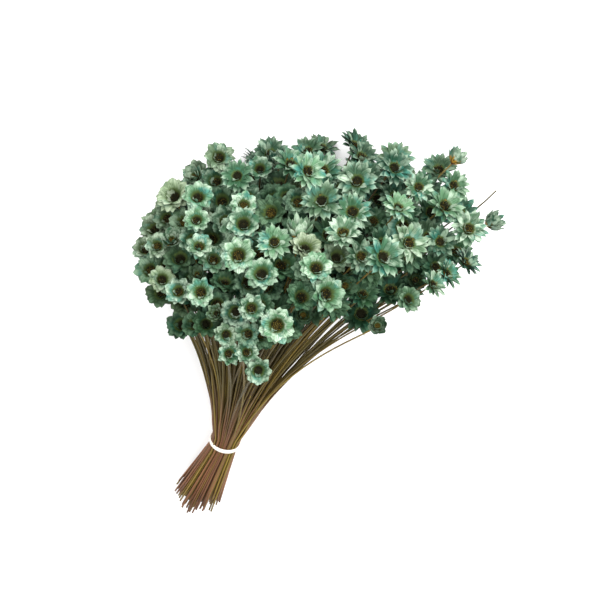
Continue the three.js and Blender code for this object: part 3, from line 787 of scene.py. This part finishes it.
def add_petal(mesh, row, turn, stray, finish, root_span):
    """One petal: a grid shaped to its outline, with a second face behind it that closes on its edge."""
    place, tone, root = place_layers(mesh)
    rows = len(row["outline"]) - 1
    twins = petal_sheets(mesh, rows)
    line, lifts = petal_frame(row, stray)
    width = row["width"] * stray.uniform(*WIDTH_RANGE)
    lean = stray.gauss(0, LEAN_SPREAD)
    pale = stray.random() + row["pale"]
    turned = Matrix.Rotation(turn, 3, "Z")
    for vert, twin in twins.items():
        across = 2 * vert.co.x
        along = vert.co.y + 0.5
        index = round(along * rows)
        spot = line[index]
        if index == rows and across:
            spot = spot.lerp(line[index - 1], CORNER_DRAW)
        sideways = across * width * row["outline"][index] + lean * along * along * width
        ripple = RIPPLE_HEIGHT * math.sin(RIPPLE_ALONG * along + RIPPLE_ACROSS * across)
        spot = spot + lifts[index] * (row["cupping"] * across * across + ripple)
        edge = abs(across) == 1 or index in (0, rows)
        for face_vert, step, side in ((vert, 0.5, 0.0), (twin, -0.5, 1.0)):
            thick = 0 if edge else step * PETAL_THICKNESS
            point = spot + lifts[index] * thick
            face_vert.co = turned @ wrapped(point, sideways, spot.x, row["wrap"])
            face_vert[place] = (along, abs(across), 0.5 if edge else side)
            face_vert[tone] = (0, pale, 0)
            face_vert[root] = ((along - root_span[0]) / (root_span[1] - root_span[0]), 0, 0)
    pair = [*twins, *twins.values()]
    bmesh.ops.remove_doubles(mesh, verts=pair, dist=WELD_IN_HEAD)
    for vert in pair:
        if vert.is_valid:
            for face in vert.link_faces:
                face.material_index = finish
                face.smooth = True


def petal_turn(row, index, stray):
    return (index + row["turn"]) * FULL_TURN / row["count"] + stray.gauss(0, TURN_SPREAD)


def add_petal_row(mesh, row, stray, finish, root_span):
    for index in range(row["count"]):
        add_petal(mesh, row, petal_turn(row, index, stray), stray, finish, root_span)


def add_cream_highlight_petals(mesh, stray):
    """A few small undyed petals that stand up inside the throat, side by side, on the lit side of the head as
    a painted highlight.
    """
    count = stray.randint(2, CREAM_HIGHLIGHT_PETALS)
    for index in range(count):
        turn = petal_turn(CREAM_HIGHLIGHT_ROW, index - (count - 1) / 2, stray)
        add_petal(mesh, CREAM_HIGHLIGHT_ROW, turn, stray, PAPER, CREAM_HIGHLIGHT_ROOT)


def add_bulb(mesh):
    """The base that petals and florets grow from: a turned body, closed at both poles."""
    place, tone = place_layers(mesh)[:2]
    profile = [mesh.verts.new((radius, 0, height)) for radius, height in BULB_PROFILE]
    for pair in zip(profile, profile[1:]):
        mesh.edges.new(pair)
    turn_round(mesh, (0, 0, 1), (0, 0, 0), BULB_SIDES, WELD_IN_HEAD)
    for vert in mesh.verts:
        vert[place] = (clamped(vert.co.z / BULB_TALL), 0, 1)
        vert[tone] = (0, 0.5, 0)
    for face in mesh.faces:
        top = min(vert.co.z for vert in face.verts) >= BULB_TOP
        face.material_index = FLORET if top else SCALE
        face.smooth = True


def add_florets(mesh, disc, stray):
    """Florets in the middle, in the spiral of a seed head."""
    place, tone = place_layers(mesh)[:2]
    low_radius, high_radius = FLORET_RADII
    for index in range(FLORETS):
        pale = stray.random()
        out = math.sqrt((index + 0.5) / FLORETS)
        turn = index * GOLDEN_ANGLE
        height = FLORET_FLOOR + FLORET_RISE * out * out
        spot = Vector((disc * out * math.cos(turn), disc * out * math.sin(turn), height))
        tilt = Matrix.Rotation(-FLORET_TILT * out, 4, Vector((-math.sin(turn), math.cos(turn), 0)))
        depth = stray.uniform(*FLORET_HEIGHTS)
        made = bmesh.ops.create_cone(
            mesh, segments=FLORET_SIDES, radius1=low_radius, radius2=high_radius, depth=depth, cap_ends=True,
            matrix=Matrix.Translation(spot) @ tilt @ Matrix.Rotation(stray.uniform(0, 3), 4, "Z"),
        )
        lowest = min(vert.co.z for vert in made["verts"])
        for vert in made["verts"]:
            vert[place] = (min(1.0, (vert.co.z - lowest) / depth), out, 0)
            vert[tone] = (0, pale, 0)
            for face in vert.link_faces:
                face.material_index = FLORET


def head_mesh(name, form, seed):
    """A whole head in millimetres, its base at the origin and its facing along +Z."""
    stray = random.Random(seed)
    mesh = bmesh.new()
    place_layers(mesh)
    add_bulb(mesh)
    shape = HEAD_FORMS[form]
    for row in SCALE_ROWS:
        add_petal_row(mesh, row, stray, SCALE, shape["root"])
    for row in shape["rows"]:
        add_petal_row(mesh, row, stray, PAPER, shape["root"])
    add_cream_highlight_petals(mesh, stray)
    add_florets(mesh, shape["disc"], stray)
    for edge in mesh.edges:
        edge.smooth = edge.calc_face_angle(0) < SMOOTH_ANGLE
    data = bpy.data.meshes.new(name)
    mesh.to_mesh(data)
    mesh.free()
    return data


def lowness_of(stalk):
    """How far towards the lower side of the crown a head sits, where it gets painted shade."""
    return max(0.0, -stalk.share * math.cos(stalk.around))


def dye_of(stalk, stray):
    """How strongly a head kept its dye, with more dye low down in the crown as painted shade."""
    return clamped(USUAL_DYE + LOW_SHADE_DYE * lowness_of(stalk) + stray.gauss(0, DYE_SPREAD))


def fading_of(stalk, stray):
    """How far a head has lost its dye: more towards the left edge. One head never took it."""
    if stalk.undyed:
        return 1.0
    leftward = -stalk.share * math.sin(stalk.around)
    return clamped(LEFT_FADING * max(0.0, leftward - LEFT_FROM) + stray.gauss(USUAL_FADING, FADING_SPREAD))


def paleness_of(stalk, stray):
    """How much oftener than usual a head's petals are pale: more in buds, and less low down in the crown as
    painted shade.
    """
    usual = BUD_PALE if stalk.form == "bud" else USUAL_PALE
    return stray.gauss(usual, PALE_SPREAD) + LOW_SHADE_PALE * lowness_of(stalk)


def mark_undyed(stalks):
    """The head nearest to one place near the middle of the crown is the one that never took the dye."""
    way = AXIS * math.cos(UNDYED_LEAN) + outward(UNDYED_AROUND) * math.sin(UNDYED_LEAN)
    headed = [stalk for stalk in stalks if stalk.form]
    nearest = max(headed, key=lambda stalk: (stalk.base - TIE).normalized().dot(way))
    nearest.undyed = True


def paint_shade_on_stalks(stalks):
    """Finds how much painted shade each head gets from how deep it sits below those that stand further out,
    or how low in the crown.
    """
    headed = [stalk for stalk in stalks if stalk.form]
    ways = [(stalk, (stalk.base - TIE).normalized(), (stalk.base - TIE).length) for stalk in headed]
    nearness = math.cos(SHELTER_ANGLE)
    for stalk, way, reach in ways:
        above = [
            other_reach - reach for other, other_way, other_reach in ways if way.dot(other_way) > nearness
        ]
        depth_below = (max(above) - SHELTER_FROM) / (SHELTER_FULL - SHELTER_FROM)
        stalk.painted_shade = clamped(max(depth_below, LOW_PAINTED_SHADE * lowness_of(stalk)))


def add_head(mesh, stalk, template, fullness, stray):
    tone, root = place_layers(mesh)[1:]
    known = len(mesh.verts)
    mesh.from_mesh(template)
    mesh.verts.ensure_lookup_table()
    added = mesh.verts[known:]
    turn = stray.gauss(0, HEAD_TURN_SPREAD)
    loll = AXIS * TURN_ON + Vector([stray.gauss(0, LOLL) for part in range(3)])
    bmesh.ops.transform(mesh, matrix=stalk.head_matrix(turn, fullness, loll), verts=added)
    dye = dye_of(stalk, stray)
    faded = fading_of(stalk, stray)
    pale_shift = paleness_of(stalk, stray)
    for vert in added:
        vert[tone] = (dye, clamped(vert[tone].y + pale_shift), faded)
        # The head's painted shade, from its depth or lowness in the crown
        vert[root] = (vert[root].x, stalk.painted_shade, 0)
        vert.co.z = rested(vert.co.z)


def finish_piece(mesh, name, materials, nodes):
    data = bpy.data.meshes.new(name)
    mesh.to_mesh(data)
    mesh.free()
    for material in materials:
        data.materials.append(material)
    piece = bpy.data.objects.new(name, data)
    bpy.context.scene.collection.objects.link(piece)
    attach(piece, "root")
    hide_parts(*nodes)
    return piece


class GLIXIA_OT_make_heads(bpy.types.Operator):
    """Set a papery head on every stalk of the frame"""

    bl_idname = "glixia.make_heads"
    bl_label = "Make Heads"

    def execute(self, context):
        heads = context.scene.glixia_heads
        materials = [bract_paper(heads), ochre_scales(heads), floret_brown(heads)]
        templates = {
            form: [head_mesh(f"{form}_{index}", form, SEED * 100 + index) for index in range(VARIANTS)]
            for form in HEAD_FORMS
        }
        sprays = {node: read_stalks(node) for node in SPRAYS}
        mark_undyed(sum(sprays.values(), []))
        paint_shade_on_stalks(sum(sprays.values(), []))
        for node, stalks in sprays.items():
            stray = random.Random(f"{SEED} {node}")
            mesh = bmesh.new()
            place_layers(mesh)
            for stalk in stalks:
                if stalk.form:
                    form = "bud" if stalk.undyed else stalk.form
                    add_head(mesh, stalk, stray.choice(templates[form]), heads.fullness, stray)
            finish_piece(mesh, node.replace("spray", "heads"), materials, [node])
        for template in sum(templates.values(), []):
            bpy.data.meshes.remove(template)
        return {"FINISHED"}


def tube_mesh():
    """A straight tube one unit long, cut into even steps, which each stem is bent from."""
    mesh = bmesh.new()
    bmesh.ops.create_cone(mesh, segments=STEM_SIDES, radius1=1, radius2=1, depth=1, cap_ends=True)
    long_edges = [edge for edge in mesh.edges if abs(edge.verts[0].co.z - edge.verts[1].co.z) > 0.5]
    bmesh.ops.subdivide_edges(mesh, edges=long_edges, cuts=TAIL_STEPS + CLIMB_STEPS - 2)
    for face in mesh.faces:
        face.smooth = len(face.verts) == 4
    data = bpy.data.meshes.new("tube")
    mesh.to_mesh(data)
    mesh.free()
    return data


def tail_route(stalk, stems, stray):
    """Points along one stem from its cut end through the band."""
    cut = TAIL_LENGTH * (1 + stray.uniform(-stems.raggedness, stems.raggedness))
    splay = stray.uniform(*SPLAY_RANGE)
    route = []
    for step in range(TAIL_STEPS):
        along = -cut + (NECK_ALONG + cut) * step / TAIL_STEPS
        radius = stalk.share * bundle_radius(along)
        if along < 0:
            radius *= 1 + (splay - 1) * along / -TAIL_LENGTH
        bend = ACROSS * (TAIL_BEND * max(0, -along))
        route.append(TIE + AXIS * along + outward(stalk.around) * radius + bend)
    return route


def climb_route(stalk, stems, stray):
    """Points along one stem in a curve from the bundle out to its head."""
    end = stalk.base + stalk.facing * STEM_SEAT if stalk.form else stalk.base
    way = end - stalk.root
    length = way.length
    leaves = (way.normalized() + AXIS * stems.gathering).normalized()
    meets = stalk.facing if stalk.form else stalk.rise
    stray_side = outward(stray.uniform(0, FULL_TURN)) * stray.gauss(0, stems.waviness)
    leaving = stalk.root + leaves * (length * LEAVING_SHARE) + stray_side
    meeting = end - meets * min(MEETING_MOST, MEETING_SHARE * length) - way * MEETING_BACK - stray_side
    return interpolate_bezier(stalk.root, leaving, meeting, end, CLIMB_STEPS)


def add_stem(mesh, stalk, tube, stems, stray):
    place = mesh.verts.layers.float_vector["stem_place"]
    known = len(mesh.verts)
    mesh.from_mesh(tube)
    mesh.verts.ensure_lookup_table()
    route = tail_route(stalk, stems, stray) + climb_route(stalk, stems, stray)
    last = len(route) - 1
    tone = stray.random()
    for vert in mesh.verts[known:]:
        part = vert.co.z + 0.5
        index = round(part * last)
        step = (route[min(last, index + 1)] - route[max(0, index - 1)]).normalized()
        first = (UPPER - step * UPPER.dot(step)).normalized()
        second = step.cross(first)
        radius = stems.radius + (stems.tip_radius - stems.radius) * part
        vert[place] = (part, math.atan2(vert.co.y, vert.co.x) / FULL_TURN + 0.5, tone)
        vert.co = route[index] + (first * vert.co.x + second * vert.co.y) * radius
        vert.co.z = rested(vert.co.z)


class GLIXIA_OT_make_stems(bpy.types.Operator):
    """Run a stem from each head, through the band, to its cut end"""

    bl_idname = "glixia.make_stems"
    bl_label = "Make Stems"

    def execute(self, context):
        stems = context.scene.glixia_stems
        material = dry_stem(stems)
        tube = tube_mesh()
        for node in SPRAYS:
            stray = random.Random(f"{SEED} stems {node}")
            mesh = bmesh.new()
            mesh.verts.layers.float_vector.new("stem_place")
            for stalk in read_stalks(node):
                add_stem(mesh, stalk, tube, stems, stray)
            finish_piece(mesh, node.replace("spray", "stems"), [material], [node])
        bpy.data.meshes.remove(tube)
        return {"FINISHED"}


class GLIXIA_OT_make_band(bpy.types.Operator):
    """Wind the white band round the stems"""

    bl_idname = "glixia.make_band"
    bl_label = "Make Band"

    def execute(self, context):
        band = context.scene.glixia_band
        mesh = bmesh.new()
        ring = bmesh.ops.create_circle(mesh, segments=BAND_SIDES, radius=0.5)["verts"]
        radius = TIE_RADIUS + band.thickness / 2
        for vert in ring:
            offset = Vector((vert.co.x * band.thickness, vert.co.y * band.width))
            vert.co = TIE + UPPER * (radius + offset.x) + AXIS * offset.y
        turn_round(mesh, AXIS, TIE, band.segments, WELD)
        for face in mesh.faces:
            face.smooth = True
        finish_piece(mesh, "white_band", [band_white(band)], ["tie_band"])
        return {"FINISHED"}


def add_camera(stage):
    """The camera looks down on the bunch, with the band at its own place in the photograph's frame."""
    towards = Vector((0, math.cos(stage.elevation), math.sin(stage.elevation)))
    along = (AXIS - towards * AXIS.dot(towards)).normalized()
    side = along.cross(towards)
    right = side * math.cos(stage.roll) + along * math.sin(stage.roll)
    up = along * math.cos(stage.roll) - side * math.sin(stage.roll)
    rightward = (FRAME_PIXELS / 2 - BAND_PIXEL[0]) / PIXELS_A_METRE
    upward = (BAND_PIXEL[1] - FRAME_PIXELS / 2) / PIXELS_A_METRE
    middle = TIE + right * rightward + up * upward + towards * AIM_HEIGHT
    camera = bpy.data.objects.new("camera", bpy.data.cameras.new("camera"))
    bpy.context.scene.collection.objects.link(camera)
    turned = Matrix((right, up, towards)).transposed().to_4x4()
    camera.matrix_world = Matrix.Translation(middle + towards * stage.distance) @ turned
    camera.data.sensor_width = SENSOR
    camera.data.lens = SENSOR * PIXELS_A_METRE * (stage.distance + AIM_HEIGHT) / FRAME_PIXELS
    camera.data.clip_end = FAR_CLIP
    bpy.context.scene.camera = camera
    return middle, right, up, towards


def add_key_light(place, target, power):
    light = bpy.data.lights.new("key", "AREA")
    light.shape = "SQUARE"
    light.size = KEY_SIDE
    light.energy = power
    box = bpy.data.objects.new("key", light)
    bpy.context.scene.collection.objects.link(box)
    box.location = place
    box.rotation_euler = (target - place).to_track_quat("-Z", "Y").to_euler()


def add_floor(stage):
    mesh = bmesh.new()
    bmesh.ops.create_grid(mesh, x_segments=FLOOR_STEPS, y_segments=FLOOR_STEPS, size=FLOOR_HALF)
    data = bpy.data.meshes.new("floor")
    mesh.to_mesh(data)
    mesh.free()
    data.materials.append(floor_matte(stage))
    floor = bpy.data.objects.new("floor", data)
    bpy.context.scene.collection.objects.link(floor)


class GLIXIA_OT_make_stage(bpy.types.Operator):
    """Set up the floor, the light and the camera"""

    bl_idname = "glixia.make_stage"
    bl_label = "Make Stage"

    def execute(self, context):
        stage = context.scene.glixia_stage
        middle, right, up, towards = add_camera(stage)
        add_floor(stage)
        out, above, aside = KEY_PLACE
        add_key_light(middle + towards * out + up * above + right * aside, middle, stage.key)
        world = bpy.data.worlds.new("studio")
        world.use_nodes = True
        set_inputs(world.node_tree.nodes["Background"], Color=(1, 1, 1, 1), Strength=stage.fill)
        context.scene.world = world
        context.scene.view_settings.view_transform = "Standard"
        return {"FINISHED"}


class GLIXIA_PT_sidebar(bpy.types.Panel):
    """Lists the steps that dress the bunch"""

    bl_idname = "GLIXIA_PT_sidebar"
    bl_label = "Dried Glixia Bunch"
    bl_space_type = "VIEW_3D"
    bl_region_type = "UI"
    bl_category = "Glixia"

    def draw(self, context):
        for settings, operator in STEPS:
            box = self.layout.box()
            group = getattr(context.scene, settings)
            for name in group.bl_rna.properties.keys():
                if name not in ("rna_type", "name"):
                    box.prop(group, name)
            box.operator(operator)


STEPS = (
    ("glixia_heads", "glixia.make_heads"),
    ("glixia_stems", "glixia.make_stems"),
    ("glixia_band", "glixia.make_band"),
    ("glixia_stage", "glixia.make_stage"),
)
SETTINGS = {
    "glixia_heads": GlixiaHeadSettings,
    "glixia_stems": GlixiaStemSettings,
    "glixia_band": GlixiaBandSettings,
    "glixia_stage": GlixiaStageSettings,
}
CLASSES = (
    *SETTINGS.values(),
    GLIXIA_OT_make_heads,
    GLIXIA_OT_make_stems,
    GLIXIA_OT_make_band,
    GLIXIA_OT_make_stage,
    GLIXIA_PT_sidebar,
)


def register():
    for cls in CLASSES:
        bpy.utils.register_class(cls)
    for name, settings in SETTINGS.items():
        setattr(bpy.types.Scene, name, PointerProperty(type=settings))


def unregister():
    for name in SETTINGS:
        delattr(bpy.types.Scene, name)
    for cls in reversed(CLASSES):
        bpy.utils.unregister_class(cls)


def main():
    register()
    bpy.ops.glixia.make_heads()
    bpy.ops.glixia.make_stems()
    bpy.ops.glixia.make_band()
    bpy.ops.glixia.make_stage()


if __name__ == "__main__":
    main()
